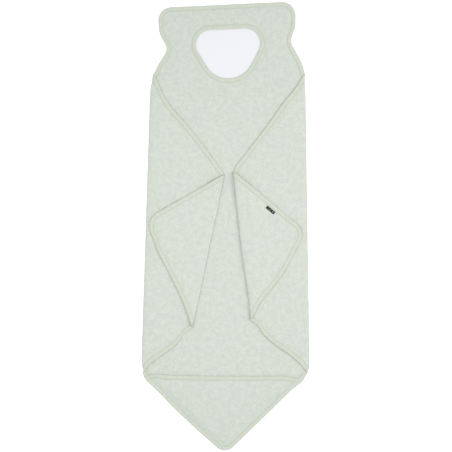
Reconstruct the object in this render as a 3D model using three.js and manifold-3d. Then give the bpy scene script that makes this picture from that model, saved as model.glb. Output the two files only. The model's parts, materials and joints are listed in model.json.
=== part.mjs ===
// Hooded apron towel for a baby, lying folded on a flat surface.
// Millimetres, +Z up, +Y towards the neck yoke. The origin is under the middle of the folded towel.
//
// The towel is cut flat as a kite with a yoke on top. Each side is folded in over the centre along a
// first crease, and its corner is folded back out along a second crease. Every layer is modelled on
// the flat pattern, whose height 0 is the line between the two wide corners, and is then turned
// half round its crease.
import * as THREE from "three";
import { mergeVertices } from "three/addons/utils/BufferGeometryUtils.js";
import Module from "manifold-3d";

// Cloth and clearances
const clothThickness = 3;
const layerGap = 0.5;
const seamGap = 0.3;

// Flat pattern: half widths from the centre line, heights from the line between the wide corners
const towelHalfWidth = 606;
const tipDepth = 597;
const yokeBaseHeight = 468;
const yokeBaseHalfWidth = 213;
const tipRadius = 34;
const wideCornerRadius = 43;
const yokeBaseRadius = 22;

// Yoke: heights above its base
const yokeLength = 196;
const yokeTopHalfWidth = 195;
const waistRise = 84;
const waistHalfWidth = 174;
const shoulderRise = 124;
const shoulderHalfWidth = 191;
const waistRadius = 30;
const shoulderRadius = 40;
const yokeTopRadius = 38;

// Neck hole: a triangle with rounded corners, point down
const neckBelowYokeTop = 69;
const neckDepth = 212;
const neckTopHalfWidth = 121;
const neckTopRadius = 42;
const neckPointRadius = 72;

// Binding tape, folded round every edge
const bindingWidth = 13;
const bindingWall = 0.8;

// Hood: a second layer of cloth over the tip, open along its mouth
const hoodDepth = 224;

// First creases, from beside the hood's mouth to beside the yoke's base
const creaseBesideHood = 7.5;
const creaseBesideYoke = 2.2;

// Second creases, where each one lies on the folded towel: distance from the centre line
const foldBackUpperHeight = 188;
const foldBackLowerHeight = -226;
const sides = {
  left: { sign: -1, foldBackUpper: 8.1, foldBackLower: 90.7 },
  right: { sign: 1, foldBackUpper: 17.6, foldBackLower: 66.9 },
};

// Woven label on the right corner, along its upper edge
const labelLength = 29;
const labelWidth = 8.5;
const labelThickness = 0.6;
const labelFromCorner = 119;
const labelFromBinding = 0.8;

// Heights and widths that follow from the driving dimensions
const yokeTopHeight = yokeBaseHeight + yokeLength;
const neckTopHeight = yokeTopHeight - neckBelowYokeTop;
const hoodMouthHeight = hoodDepth - tipDepth;
const hoodMouthHalfWidth = (towelHalfWidth * hoodDepth) / tipDepth;
const labelInset = bindingWidth + labelFromBinding + labelWidth / 2;

const arcStep = Math.PI / 20;
const cutterSize = 4 * Math.max(towelHalfWidth, tipDepth, yokeTopHeight);

const wasm = await Module();
wasm.setup();

const clothMaterial = new THREE.MeshStandardMaterial({
  color: 0xd6ddd2, roughness: 0.98, metalness: 0,
});
const bindingMaterial = new THREE.MeshStandardMaterial({
  color: 0xdde3d0, roughness: 0.9, metalness: 0,
});
const labelMaterial = new THREE.MeshStandardMaterial({
  color: 0x1d1e20, roughness: 0.8, metalness: 0,
});

// ---- Outlines: lists of corners, anticlockwise, each with its own radius ----

function corner(x, y, radius) {
  return { point: new THREE.Vector2(x, y), radius };
}

// The directions into and out of a corner, and its turn, positive where the outline bulges.
function corneringAt(corners, index) {
  const here = corners[index].point;
  const before = corners[(index + corners.length - 1) % corners.length].point;
  const after = corners[(index + 1) % corners.length].point;
  const arriving = here.clone().sub(before).normalize();
  const leaving = after.clone().sub(here).normalize();
  const turn = Math.atan2(arriving.cross(leaving), arriving.dot(leaving));
  return { here, arriving, leaving, turn };
}

function leftOf(direction) {
  return new THREE.Vector2(-direction.y, direction.x);
}

// The same outline moved inwards by a distance, or outwards where the distance is negative.
function inset(corners, distance) {
  return corners.map(({ radius }, index) => {
    const { here, arriving, leaving, turn } = corneringAt(corners, index);
    const across = leftOf(arriving).add(leftOf(leaving));
    const shift = distance / (1 + arriving.dot(leaving));
    const moved = here.clone().addScaledVector(across, shift);
    const movedRadius = Math.max(radius - Math.sign(turn) * distance, 1);
    return { point: moved, radius: movedRadius };
  });
}

// Points along an outline, with each corner rounded as an arc.
function rounded(corners) {
  return corners.flatMap(({ radius }, index) => {
    const { here, arriving, leaving, turn } = corneringAt(corners, index);
    const reach = radius * Math.tan(Math.abs(turn) / 2);
    const start = here.clone().addScaledVector(arriving, -reach);
    const centre = start.clone().addScaledVector(leftOf(arriving), radius * Math.sign(turn));
    const steps = Math.max(2, Math.ceil(Math.abs(turn) / arcStep));
    return Array.from({ length: steps + 1 }, (_, step) =>
      start.clone().rotateAround(centre, (turn * step) / steps),
    );
  });
}

const rightHalf = [
  corner(towelHalfWidth, 0, wideCornerRadius),
  corner(yokeBaseHalfWidth, yokeBaseHeight, yokeBaseRadius),
  corner(waistHalfWidth, yokeBaseHeight + waistRise, waistRadius),
  corner(shoulderHalfWidth, yokeBaseHeight + shoulderRise, shoulderRadius),
  corner(yokeTopHalfWidth, yokeTopHeight, yokeTopRadius),
];
const leftHalf = rightHalf.map(({ point, radius }) => corner(-point.x, point.y, radius)).reverse();
const towelOutline = [corner(0, -tipDepth, tipRadius), ...rightHalf, ...leftHalf];
const neckOutline = [
  corner(0, neckTopHeight - neckDepth, neckPointRadius),
  corner(neckTopHalfWidth, neckTopHeight, neckTopRadius),
  corner(-neckTopHalfWidth, neckTopHeight, neckTopRadius),
];

// ---- Solids ----

function toSolid(geometry) {
  const bare = geometry.clone();
  bare.deleteAttribute("normal");
  bare.deleteAttribute("uv");
  const merged = mergeVertices(bare, 1e-4);
  return new wasm.Manifold(
    new wasm.Mesh({
      numProp: 3,
      vertProperties: merged.attributes.position.array,
      triVerts: new Uint32Array(merged.index.array),
    }),
  );
}

function toGeometry(solid) {
  const { numProp, vertProperties, triVerts } = solid.getMesh();
  const indexed = new THREE.BufferGeometry();
  const points = new THREE.InterleavedBufferAttribute(
    new THREE.InterleavedBuffer(vertProperties, numProp), 3, 0,
  );
  indexed.setAttribute("position", points);
  indexed.setIndex(new THREE.BufferAttribute(triVerts, 1));
  const faceted = indexed.toNonIndexed();
  faceted.computeVertexNormals();
  return faceted;
}

// A flat layer between two heights, with an optional hole.
function layer(outline, low, high, hole) {
  const shape = new THREE.Shape(rounded(outline));
  if (hole) shape.holes.push(new THREE.Path(rounded(hole)));
  const geometry = new THREE.ExtrudeGeometry(shape, { depth: high - low, bevelEnabled: false });
  geometry.translate(0, 0, low);
  return toSolid(geometry);
}

// Everything to the right of a line, looking along it from above, starting a gap away.
function rightOf(line, gap = seamGap) {
  const along = line.end.clone().sub(line.start);
  const geometry = new THREE.BoxGeometry(cutterSize, cutterSize, cutterSize);
  geometry.translate(0, -cutterSize / 2 - gap, 0);
  geometry.rotateZ(along.angle());
  geometry.translate(line.start.x, line.start.y, 0);
  return toSolid(geometry);
}

function lineBetween(startX, startY, endX, endY) {
  return { start: new THREE.Vector2(startX, startY), end: new THREE.Vector2(endX, endY) };
}

function reversed(line) {
  return { start: line.end, end: line.start };
}

function mirroredIn(line, point) {
  const along = line.end.clone().sub(line.start).normalize();
  const offset = point.clone().sub(line.start);
  const foot = line.start.clone().addScaledVector(along, offset.dot(along));
  return foot.multiplyScalar(2).sub(point);
}

// ---- The flat towel, before it is divided at its creases ----

const slotLow = bindingWall;
const slotHigh = clothThickness - bindingWall;
const hoodLow = clothThickness + layerGap;
const hoodHigh = hoodLow + clothThickness;
const coveredDepth = bindingWidth + seamGap;
const tongueInset = bindingWall + seamGap;

// Cloth at full thickness inside the tape, and thinned to a tongue where the tape grips it.
const flatCloth = layer(
  inset(towelOutline, coveredDepth), 0, clothThickness, inset(neckOutline, -coveredDepth),
).add(
  layer(
    inset(towelOutline, tongueInset), slotLow + seamGap, slotHigh - seamGap,
    inset(neckOutline, -tongueInset),
  ),
);

// Tape folded round an edge, as a channel that opens onto the cloth.
function edgeTape(high, slotTop) {
  const band = layer(towelOutline, 0, high, inset(towelOutline, bindingWidth));
  const slot = layer(
    inset(towelOutline, bindingWall), slotLow, slotTop, inset(towelOutline, bindingWidth + 1),
  );
  return band.subtract(slot);
}

const outerTape = edgeTape(clothThickness, slotHigh);
const neckTape = layer(
  inset(neckOutline, -bindingWidth), 0, clothThickness, neckOutline,
).subtract(
  layer(inset(neckOutline, -bindingWidth - 1), slotLow, slotHigh, inset(neckOutline, -bindingWall)),
);

// ---- The hood ----

const heightZero = lineBetween(-1, 0, 1, 0);
const mouth = lineBetween(-1, hoodMouthHeight, 1, hoodMouthHeight);
const upperHalf = rightOf(reversed(heightZero), 0);
const lowerHalf = rightOf(heightZero, 0);
const underMouth = (depth) => rightOf(mouth, depth);

const hoodCloth = layer(inset(towelOutline, coveredDepth), hoodLow, hoodHigh)
  .intersect(underMouth(coveredDepth))
  .add(
    layer(
      inset(towelOutline, tongueInset), hoodLow + slotLow + seamGap, hoodLow + slotHigh - seamGap,
    ).intersect(underMouth(tongueInset)),
  );
const mouthTape = layer(inset(towelOutline, coveredDepth), hoodLow, hoodHigh)
  .intersect(underMouth(0))
  .subtract(underMouth(bindingWidth))
  .subtract(
    layer(towelOutline, hoodLow + slotLow, hoodLow + slotHigh).intersect(underMouth(bindingWall)),
  );
const hoodTape = edgeTape(hoodHigh, hoodHigh - bindingWall).intersect(underMouth(0));

// ---- The scene ----

function addMesh(group, name, solid, material) {
  const mesh = new THREE.Mesh(toGeometry(solid), material);
  mesh.name = name;
  group.add(mesh);
  return mesh;
}

// A group turned half round a crease that lies at a height.
function foldedAbout(crease, height) {
  const along = crease.end.clone().sub(crease.start).normalize();
  const pivot = new THREE.Vector3(crease.start.x, crease.start.y, height);
  const group = new THREE.Group();
  group.quaternion.setFromAxisAngle(new THREE.Vector3(along.x, along.y, 0), Math.PI);
  group.position.copy(pivot).sub(pivot.clone().applyQuaternion(group.quaternion));
  return group;
}

// First crease of a side, running so that the side's cloth lies to its right.
function firstCrease(sign) {
  const crease = lineBetween(
    sign * (hoodMouthHalfWidth + creaseBesideHood), hoodMouthHeight,
    sign * (yokeBaseHalfWidth + creaseBesideYoke), yokeBaseHeight,
  );
  return sign > 0 ? crease : reversed(crease);
}

// Second crease on the flat pattern, found by unfolding the place where it lies when folded.
function secondCrease({ sign, foldBackUpper, foldBackLower }) {
  const folded = lineBetween(
    sign * foldBackLower, foldBackLowerHeight, sign * foldBackUpper, foldBackUpperHeight,
  );
  const flat = {
    start: mirroredIn(firstCrease(sign), folded.start),
    end: mirroredIn(firstCrease(sign), folded.end),
  };
  return sign > 0 ? flat : reversed(flat);
}

const towel = new THREE.Group();
const betweenCreases = rightOf(reversed(firstCrease(1))).intersect(
  rightOf(reversed(firstCrease(-1))),
);

addMesh(towel, "centre_panel", flatCloth.intersect(betweenCreases), clothMaterial);
addMesh(
  towel, "yoke_binding", outerTape.intersect(betweenCreases).intersect(upperHalf), bindingMaterial,
);
addMesh(
  towel, "hood_edge_binding",
  outerTape.subtract(underMouth(0)).add(hoodTape).intersect(betweenCreases).intersect(lowerHalf),
  bindingMaterial,
);
addMesh(towel, "neck_binding", neckTape, bindingMaterial);
addMesh(towel, "hood_panel", hoodCloth, clothMaterial);
addMesh(towel, "hood_mouth_binding", mouthTape, bindingMaterial);

const cornerGroups = {};
for (const [side, folds] of Object.entries(sides)) {
  const first = firstCrease(folds.sign);
  const second = secondCrease(folds);
  const sideRegion = rightOf(first).intersect(rightOf(reversed(second)));
  const cornerRegion = rightOf(second);

  const sideGroup = foldedAbout(first, clothThickness + layerGap / 2);
  const sideTape = outerTape.intersect(sideRegion);
  addMesh(sideGroup, side + "_side_panel", flatCloth.intersect(sideRegion), clothMaterial);
  addMesh(
    sideGroup, side + "_side_upper_binding", sideTape.intersect(upperHalf), bindingMaterial,
  );
  addMesh(
    sideGroup, side + "_side_lower_binding", sideTape.intersect(lowerHalf), bindingMaterial,
  );
  towel.add(sideGroup);

  const cornerGroup = foldedAbout(second, -layerGap / 2);
  addMesh(cornerGroup, side + "_corner_panel", flatCloth.intersect(cornerRegion), clothMaterial);
  addMesh(
    cornerGroup, side + "_corner_binding", outerTape.intersect(cornerRegion), bindingMaterial,
  );
  sideGroup.add(cornerGroup);
  cornerGroups[side] = cornerGroup;
}

// The label lies on the right corner, just inside the tape of the corner's upper edge.
const upperEdge = new THREE.Vector2(yokeBaseHalfWidth - towelHalfWidth, yokeBaseHeight).normalize();
const labelPlace = new THREE.Vector2(towelHalfWidth, 0)
  .addScaledVector(upperEdge, labelFromCorner)
  .addScaledVector(leftOf(upperEdge), labelInset);
const label = new THREE.Mesh(
  new THREE.BoxGeometry(labelLength, labelWidth, labelThickness), labelMaterial,
);
label.name = "woven_label";
label.position.set(
  labelPlace.x, labelPlace.y, clothThickness + seamGap + labelThickness / 2,
);
label.rotation.z = upperEdge.angle();
cornerGroups.right.add(label);

// The folded towel is centred over the origin.
const extent = new THREE.Box3().setFromObject(towel, true);
const middle = extent.getCenter(new THREE.Vector3());
towel.position.set(-middle.x, -middle.y, 0);

const model = new THREE.Group();
model.add(towel);

export default model;
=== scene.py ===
import json
import math
import bmesh
import bpy
import numpy as np
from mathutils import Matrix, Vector
from mathutils.geometry import delaunay_2d_cdt


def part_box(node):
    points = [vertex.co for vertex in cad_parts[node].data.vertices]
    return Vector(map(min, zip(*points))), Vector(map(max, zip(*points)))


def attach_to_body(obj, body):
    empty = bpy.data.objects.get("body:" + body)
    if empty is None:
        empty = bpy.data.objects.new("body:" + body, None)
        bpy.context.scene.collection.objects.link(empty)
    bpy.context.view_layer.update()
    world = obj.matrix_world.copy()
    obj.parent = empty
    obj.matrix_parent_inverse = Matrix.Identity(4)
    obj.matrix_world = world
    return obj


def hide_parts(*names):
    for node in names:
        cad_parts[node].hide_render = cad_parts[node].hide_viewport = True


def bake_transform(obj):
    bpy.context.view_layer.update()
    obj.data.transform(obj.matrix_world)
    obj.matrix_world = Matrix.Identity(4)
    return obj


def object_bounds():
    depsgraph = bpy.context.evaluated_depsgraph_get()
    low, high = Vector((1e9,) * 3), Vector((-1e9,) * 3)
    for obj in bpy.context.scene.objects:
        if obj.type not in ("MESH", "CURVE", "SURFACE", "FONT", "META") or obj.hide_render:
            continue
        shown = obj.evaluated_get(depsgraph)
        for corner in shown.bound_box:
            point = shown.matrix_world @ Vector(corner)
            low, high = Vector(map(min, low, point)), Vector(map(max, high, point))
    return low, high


# Looks for the hooded apron towel. Metres, +Z up, +Y towards the neck yoke.
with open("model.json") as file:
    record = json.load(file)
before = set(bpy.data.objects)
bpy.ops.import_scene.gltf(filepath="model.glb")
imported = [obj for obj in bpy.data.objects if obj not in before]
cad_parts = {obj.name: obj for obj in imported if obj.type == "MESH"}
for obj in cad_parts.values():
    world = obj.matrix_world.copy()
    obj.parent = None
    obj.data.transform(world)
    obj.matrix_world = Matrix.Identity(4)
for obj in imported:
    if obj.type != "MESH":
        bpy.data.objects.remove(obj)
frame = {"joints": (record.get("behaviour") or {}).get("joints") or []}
cadBox = [list(corner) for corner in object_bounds()]
mm = 0.001  # one millimetre

cameraSettings = {"frameWidth": 1265.6 * mm, "lens": 110.0, "rollDegrees": 0.5, "aside": -2 * mm,
                  "upwards": 2 * mm}


def makeCamera(settings):
    low, high = (Vector(corner) for corner in cadBox)
    middle = (low + high) / 2
    data = bpy.data.cameras.new("camera")
    data.lens = settings["lens"]
    distance = settings["frameWidth"] * data.lens / data.sensor_width
    data.clip_end = 4 * distance
    camera = bpy.data.objects.new("camera", data)
    bpy.context.scene.collection.objects.link(camera)
    camera.location = (middle.x + settings["aside"], middle.y + settings["upwards"], high.z + distance)
    camera.rotation_euler = (0, 0, math.radians(settings["rollDegrees"]))
    bpy.context.scene.camera = camera


makeCamera(cameraSettings)

firstLow, firstHigh = (corner.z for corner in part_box("centre_panel"))
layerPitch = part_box("left_side_panel")[0].z - firstLow
midFirst = (firstLow + firstHigh) / 2
outward = {"left": -1.0, "right": 1.0}
layers = ("first", "second", "third")

# The pattern laid flat: half widths, and heights from the line between the wide corners.
cut = {"halfWidth": 606 * mm, "tipDepth": 597 * mm, "tipRadius": 34 * mm, "wideRadius": 43 * mm,
       "baseHeight": 468 * mm, "baseHalfWidth": 213 * mm, "baseRadius": 22 * mm,
       "waistRise": 84 * mm, "waistHalfWidth": 174 * mm, "waistRadius": 30 * mm,
       "shoulderRise": 124 * mm, "shoulderHalfWidth": 191 * mm, "shoulderRadius": 40 * mm,
       "yokeLength": 196 * mm, "yokeHalfWidth": 195 * mm, "yokeRadius": 38 * mm,
       "neckBelowTop": 69 * mm, "neckDepth": 212 * mm, "neckHalfWidth": 121 * mm,
       "neckTopRadius": 42 * mm, "neckPointRadius": 72 * mm}
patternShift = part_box("yoke_binding")[1].y - cut["baseHeight"] - cut["yokeLength"]


def unit(vector):
    return vector / np.linalg.norm(vector)


def leftOf(direction):
    return np.stack([-direction[..., 1], direction[..., 0]], axis=-1)


def roundedLoop(corners, inset=0.0, step=math.radians(6)):
    # Points round an outline whose corners are (x, y, radius), anticlockwise, moved inwards by inset.
    points = []
    places = [np.array(corner[:2]) for corner in corners]
    for index, corner in enumerate(corners):
        arriving = unit(places[index] - places[index - 1])
        leaving = unit(places[(index + 1) % len(corners)] - places[index])
        turn = math.atan2(arriving[0] * leaving[1] - arriving[1] * leaving[0], arriving @ leaving)
        across = leftOf(arriving) + leftOf(leaving)
        here = places[index] + across * inset / (1 + arriving @ leaving)
        radius = max(corner[2] - inset * math.copysign(1, turn), mm)
        start = here - arriving * radius * math.tan(abs(turn) / 2)
        arm = -leftOf(arriving) * math.copysign(radius, turn)
        steps = max(2, math.ceil(abs(turn) / step))
        for angle in np.linspace(0, turn, steps + 1):
            turned = np.array([arm[0] * math.cos(angle) - arm[1] * math.sin(angle),
                               arm[0] * math.sin(angle) + arm[1] * math.cos(angle)])
            points.append(start - arm + turned)
    return np.array(points)


def patternCorners():
    base = cut["baseHeight"]
    right = [(cut["halfWidth"], 0, cut["wideRadius"]),
             (cut["baseHalfWidth"], base, cut["baseRadius"]),
             (cut["waistHalfWidth"], base + cut["waistRise"], cut["waistRadius"]),
             (cut["shoulderHalfWidth"], base + cut["shoulderRise"], cut["shoulderRadius"]),
             (cut["yokeHalfWidth"], base + cut["yokeLength"], cut["yokeRadius"])]
    left = [(-x, y, radius) for x, y, radius in reversed(right)]
    neckTop = base + cut["yokeLength"] - cut["neckBelowTop"]
    neck = [(0, neckTop - cut["neckDepth"], cut["neckPointRadius"]),
            (cut["neckHalfWidth"], neckTop, cut["neckTopRadius"]),
            (-cut["neckHalfWidth"], neckTop, cut["neckTopRadius"])]
    outline = [(0, -cut["tipDepth"], cut["tipRadius"])] + right + left
    return [[(x, y + patternShift, radius) for x, y, radius in loop] for loop in (outline, neck)]


outlineCorners, neckCorners = patternCorners()

bend = {"cutBefore": 9 * mm, "setBack": 1.2 * mm, "pressed": 45 * mm, "near": 8 * mm,
        "nearSecond": 10 * mm, "steps": 7, "rows": (-4, 10), "spacing": 3.4 * mm}
bendRadius = layerPitch / 2
bendLength = math.pi * bendRadius
foldShift = bendLength - 2 * bend["setBack"]


class Crease:
    # A line that cloth folds about: it runs along "along", and "out" points to the cloth beyond it.
    def __init__(self, point, along, out, axisHeight, up):
        self.point = np.array(point, float)
        self.along = unit(np.array(along, float))
        side = leftOf(self.along)
        self.out = side if side @ np.array(out) > 0 else -side
        self.axisHeight = axisHeight
        self.up = up

    def beyond(self, points):
        return (points[:, :2] - self.point) @ self.out

    def fold(self, points):
        # Rolls what lies beyond the crease over it, upwards or downwards, and back the other way.
        s = self.beyond(points)
        lengthwise = (points[:, :2] - self.point) @ self.along
        past = np.clip(s + bend["setBack"], 0, bendLength)
        angle = past / bendRadius - math.pi / 2
        arm = self.up * (self.axisHeight - points[:, 2])
        flatBefore = np.minimum(s, -bend["setBack"])
        flatAfter = np.maximum(s + bend["setBack"] - bendLength, 0)
        across = flatBefore - flatAfter + arm * np.cos(angle)
        heights = self.axisHeight + self.up * arm * np.sin(angle)
        flat = self.point + np.outer(lengthwise, self.along) + np.outer(across, self.out)
        return np.column_stack([flat, heights])


joints = {joint["name"]: joint for joint in frame["joints"]}


def creasesOf(side):
    # The first crease, and the second one where it lies on the unfolded side.
    out = (outward[side], 0.0)
    first = joints[side + "_side_fold"]
    second = joints[side + "_corner_fold"]
    firstCrease = Crease(first["pos_m"][:2], first["axis"][:2], out, first["pos_m"][2], 1)
    offset = np.array(second["pos_m"][:2]) - firstCrease.point
    outDistance = foldShift - offset @ firstCrease.out
    lengthwise = offset @ firstCrease.along
    flatPlace = firstCrease.point + lengthwise * firstCrease.along + outDistance * firstCrease.out
    along = np.array(second["axis"][:2])
    flatAlong = along - 2 * (along @ firstCrease.out) * firstCrease.out
    axisHeight = 2 * first["pos_m"][2] - second["pos_m"][2]
    return firstCrease, Crease(flatPlace, flatAlong, out, axisHeight, -1)


def restCrease(side):
    # The second crease where it lies when the side is folded in.
    second = joints[side + "_corner_fold"]
    return Crease(second["pos_m"][:2], second["axis"][:2], (-outward[side], 0.0), 0, 1)


creases = {side: creasesOf(side) for side in outward}
restCreases = {side: restCrease(side) for side in outward}
foldLines = [crease for side in outward for crease in (creases[side][0], restCreases[side])]


def clipped(loop, point, normal):
    # The part of a loop on the side that the normal points away from.
    depth = (loop - point) @ normal
    kept = []
    for index in range(len(loop)):
        here, before = depth[index], depth[index - 1]
        if (here <= 0) != (before <= 0):
            share = before / (before - here)
            kept.append(loop[index - 1] + share * (loop[index] - loop[index - 1]))
        if here <= 0:
            kept.append(loop[index])
    return np.array(kept)


# Rings are distances in from the edge, in millimetres, that get rows of finer points.
cloth = {"half": 1.5 * mm, "pinched": 0.7 * mm, "tongue": 0.8 * mm, "edgeInset": 2 * mm,
         "fullAt": 24 * mm, "spacing": 4.2 * mm, "edgeShare": 0.7, "closest": 0.2 * mm, "clear": 1.3 * mm,
         "ringSpacing": 3 * mm, "rings": (6, 10, 13.2, 15.2, 18), "pastRings": 2, "sameWithin": 1e-7,
         "sliver": 1e-12}


def resampled(loop, spacing):
    points = []
    for index in range(len(loop)):
        start, end = loop[index], loop[(index + 1) % len(loop)]
        count = max(1, round(np.linalg.norm(end - start) / spacing))
        points.extend(start + (end - start) * k / count for k in range(count))
    points = np.array(points)
    gap = np.linalg.norm(points - np.roll(points, 1, axis=0), axis=1)
    return points[gap > cloth["closest"]]


def inside(points, loop):
    # Even-odd test of many points against one loop.
    result = np.zeros(len(points), bool)
    for (x0, y0), (x1, y1) in zip(loop, np.roll(loop, -1, axis=0)):
        crosses = (y0 > points[:, 1]) != (y1 > points[:, 1])
        if crosses.any():
            at = x0 + (points[crosses, 1] - y0) * (x1 - x0) / (y1 - y0)
            result[crosses] ^= points[crosses, 0] < at
    return result


def within(points, loops):
    # Inside the first loop and outside the others.
    kept = inside(points, loops[0])
    for loop in loops[1:]:
        kept &= ~inside(points, loop)
    return kept


def distanceTo(points, loop):
    nearest = np.full(len(points), 1e9)
    for start, end in zip(loop, np.roll(loop, -1, axis=0)):
        step = end - start
        length = step @ step
        if length < 1e-14:
            continue
        offset = points - start
        share = np.clip(offset @ step / length, 0, 1)
        nearest = np.minimum(nearest, ((offset - share[:, None] * step) ** 2).sum(1))
    return np.sqrt(nearest)


outline = roundedLoop(outlineCorners)
neckLoop = roundedLoop(neckCorners)


def edgeDistance(points):
    return np.minimum(distanceTo(points, outline), distanceTo(points, neckLoop))


def smooth(value, low, high):
    t = np.clip((value - low) / (high - low), 0, 1)
    return t * t * (3 - 2 * t)


def evenGrid(low, high, spacing):
    # Points in staggered rows, each as far from its neighbours.
    rows = []
    for row, y in enumerate(np.arange(low[1], high[1], spacing * math.sqrt(3) / 2)):
        xs = np.arange(low[0] + (row % 2) * spacing / 2, high[0], spacing)
        rows.append(np.column_stack([xs, np.full(len(xs), y)]))
    return np.concatenate(rows)


def withBend(grid, crease):
    # Rows along a crease in place of the grid's own points, so that the bend comes out round.
    margin = cloth["spacing"] / 2
    depths = np.arange(*bend["rows"]) * bendLength / bend["steps"] - bend["setBack"]
    past = crease.beyond(grid)
    grid = grid[(past < depths[0] - margin) | (past > depths[-1] + margin)]
    reach = np.arange(-1.0, 1.0, bend["spacing"])
    strips = [crease.point + np.outer(reach, crease.along) + depth * crease.out for depth in depths]
    return np.concatenate([grid] + strips)


def triangulated(loops, rings, crease):
    # Points, triangles and area of the first loop less the others, finer along the rings and the crease.
    loops = [resampled(loop, cloth["spacing"] * cloth["edgeShare"]) for loop in loops]
    boundary = np.concatenate(loops)
    edges, base = [], 0
    for loop in loops:
        edges += [(base + k, base + (k + 1) % len(loop)) for k in range(len(loop))]
        base += len(loop)
    grid = evenGrid(boundary.min(0), boundary.max(0), cloth["spacing"])
    grid = grid[edgeDistance(grid) > (cloth["rings"][-1] + cloth["pastRings"]) * mm]
    grid = np.concatenate([grid] + [resampled(ring, cloth["ringSpacing"]) for ring in rings])
    if crease:
        grid = withBend(grid, crease)
    grid = grid[within(grid, loops)]
    for loop in loops:
        grid = grid[distanceTo(grid, loop) > cloth["clear"]]
    every = np.concatenate([boundary, grid])
    coords, _, faces, *_ = delaunay_2d_cdt([Vector(p) for p in every], edges, [], 0,
                                          cloth["sameWithin"])
    coords = np.array([tuple(p) for p in coords])
    faces = np.array([face for face in faces if len(face) == 3])
    faces = faces[within(coords[faces].mean(axis=1), loops)]
    a, b, c = (coords[faces[:, k]] for k in range(3))
    area = (b - a)[:, 0] * (c - a)[:, 1] - (b - a)[:, 1] * (c - a)[:, 0]
    faces[area < 0] = faces[area < 0][:, ::-1]
    faces = faces[np.abs(area) > cloth["sliver"]]
    used = np.unique(faces)
    index = np.full(len(coords), -1)
    index[used] = np.arange(len(used))
    return coords[used], index[faces], float(np.abs(area).sum() / 2)


def rimEdges(faces):
    edges = np.concatenate([faces[:, [0, 1]], faces[:, [1, 2]], faces[:, [2, 0]]])
    keys = {tuple(edge) for edge in edges.tolist()}
    return [edge for edge in keys if (edge[1], edge[0]) not in keys]


def meshObject(name, points, faces, material, texturePlaces=None):
    mesh = bpy.data.meshes.new(name)
    mesh.from_pydata([tuple(p) for p in points], [], [tuple(f) for f in faces])
    if texturePlaces is not None:
        layer = mesh.uv_layers.new(name="pattern")
        corners = np.zeros(len(mesh.loops), int)
        mesh.loops.foreach_get("vertex_index", corners)
        layer.data.foreach_set("uv", np.asarray(texturePlaces)[corners].ravel())
    mesh.polygons.foreach_set("use_smooth", [True] * len(mesh.polygons))
    mesh.set_sharp_from_angle(angle=math.radians(50))
    if material:
        mesh.materials.append(material)
    mesh.update()
    made = bpy.data.objects.new(name, mesh)
    bpy.context.scene.collection.objects.link(made)
    return made


class Field:
    # A smooth random height over the plane, from a few waves of chosen lengths.
    def __init__(self, seed, shortest, longest, count):
        draw = np.random.RandomState(seed)
        lengths = draw.uniform(shortest, longest, count)
        angles = draw.uniform(0, 2 * math.pi, count)
        self.waves = 2 * math.pi / lengths[:, None] * np.column_stack([np.cos(angles), np.sin(angles)])
        self.phases = draw.uniform(0, 2 * math.pi, count)

    def at(self, points):
        waves = np.cos(points[:, :2] @ self.waves.T + self.phases)
        return waves.sum(1) * math.sqrt(2 / len(self.phases))


relief = {"first": 0.4 * mm, "second": 0.5 * mm, "third": 0.7 * mm, "tuft": 0.09 * mm, "tuftAt": 6 * mm,
          "loft": 0.22 * mm, "loftAt": 20 * mm, "turnedAt": 12 * mm}
firstField = Field(3, 120 * mm, 320 * mm, 9)
secondField = Field(5, 90 * mm, 240 * mm, 9)
thirdField = Field(8, 80 * mm, 200 * mm, 9)
tuftField = Field(11, 9 * mm, 22 * mm, 40)
loftField = Field(17, 28 * mm, 80 * mm, 24)


def clearOf(lines, near, points):
    # 0 by these fold lines, where the cloth is pressed flat, and 1 well away from them.
    free = np.ones(len(points))
    for crease in lines:
        free *= smooth(np.abs(crease.beyond(points)), near, bend["pressed"])
    return free


def upward(values):
    # A random height about nothing turned into a rise, mostly between nothing and 1.
    return np.clip(0.5 + 0.5 * values, 0, 2)


# The cloth swells beside a crease before it settles: height for each side, quick rise and slow fall.
# Round the crease itself the outer face is stretched thinner.
shoulders = {"second": {"left": 1.2 * mm, "right": 0.7 * mm}, "third": {"left": 0.5 * mm, "right": 2.6 * mm},
             "rise": 5 * mm, "fall": 80 * mm, "thinner": 0.6 * mm, "thinTo": 2 * mm, "thickFrom": 10.5 * mm}


def shoulder(layer, points):
    found = np.zeros(len(points))
    for side, sign in outward.items():
        crease = creases[side][0] if layer == "second" else restCreases[side]
        inwards = np.maximum(-crease.beyond(points), 0)
        swell = (1 - np.exp(-inwards / shoulders["rise"])) * np.exp(-inwards / shoulders["fall"])
        if layer == "third":
            swell *= points[:, 0] * sign > 0
        found = found + shoulders[layer][side] * swell
    return found


def softSpot(points, centre, reach):
    # 1 at the centre, falling to nothing past the reach; both are in millimetres.
    away = np.linalg.norm(points[:, :2] - np.array(centre) * mm, axis=1)
    return np.exp(-(away / (reach * mm)) ** 2)


# Places where a layer stands up a little, in millimetres: (layer, centre, reach, height).
bumps = ((2, (-34, 128), 28, 5.6), (2, (30, 118), 34, 4.4), (2, (-88, -255), 30, 3.2),
         (2, (205, -6), 26, 2.2), (2, (66, -262), 24, 1.4), (2, (-150, 60), 60, 1.2),
         (1, (-150, 350), 40, 0.8), (1, (165, 372), 38, 1), (1, (170, -325), 40, 1),
         (1, (-165, -325), 40, 0.8))


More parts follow.
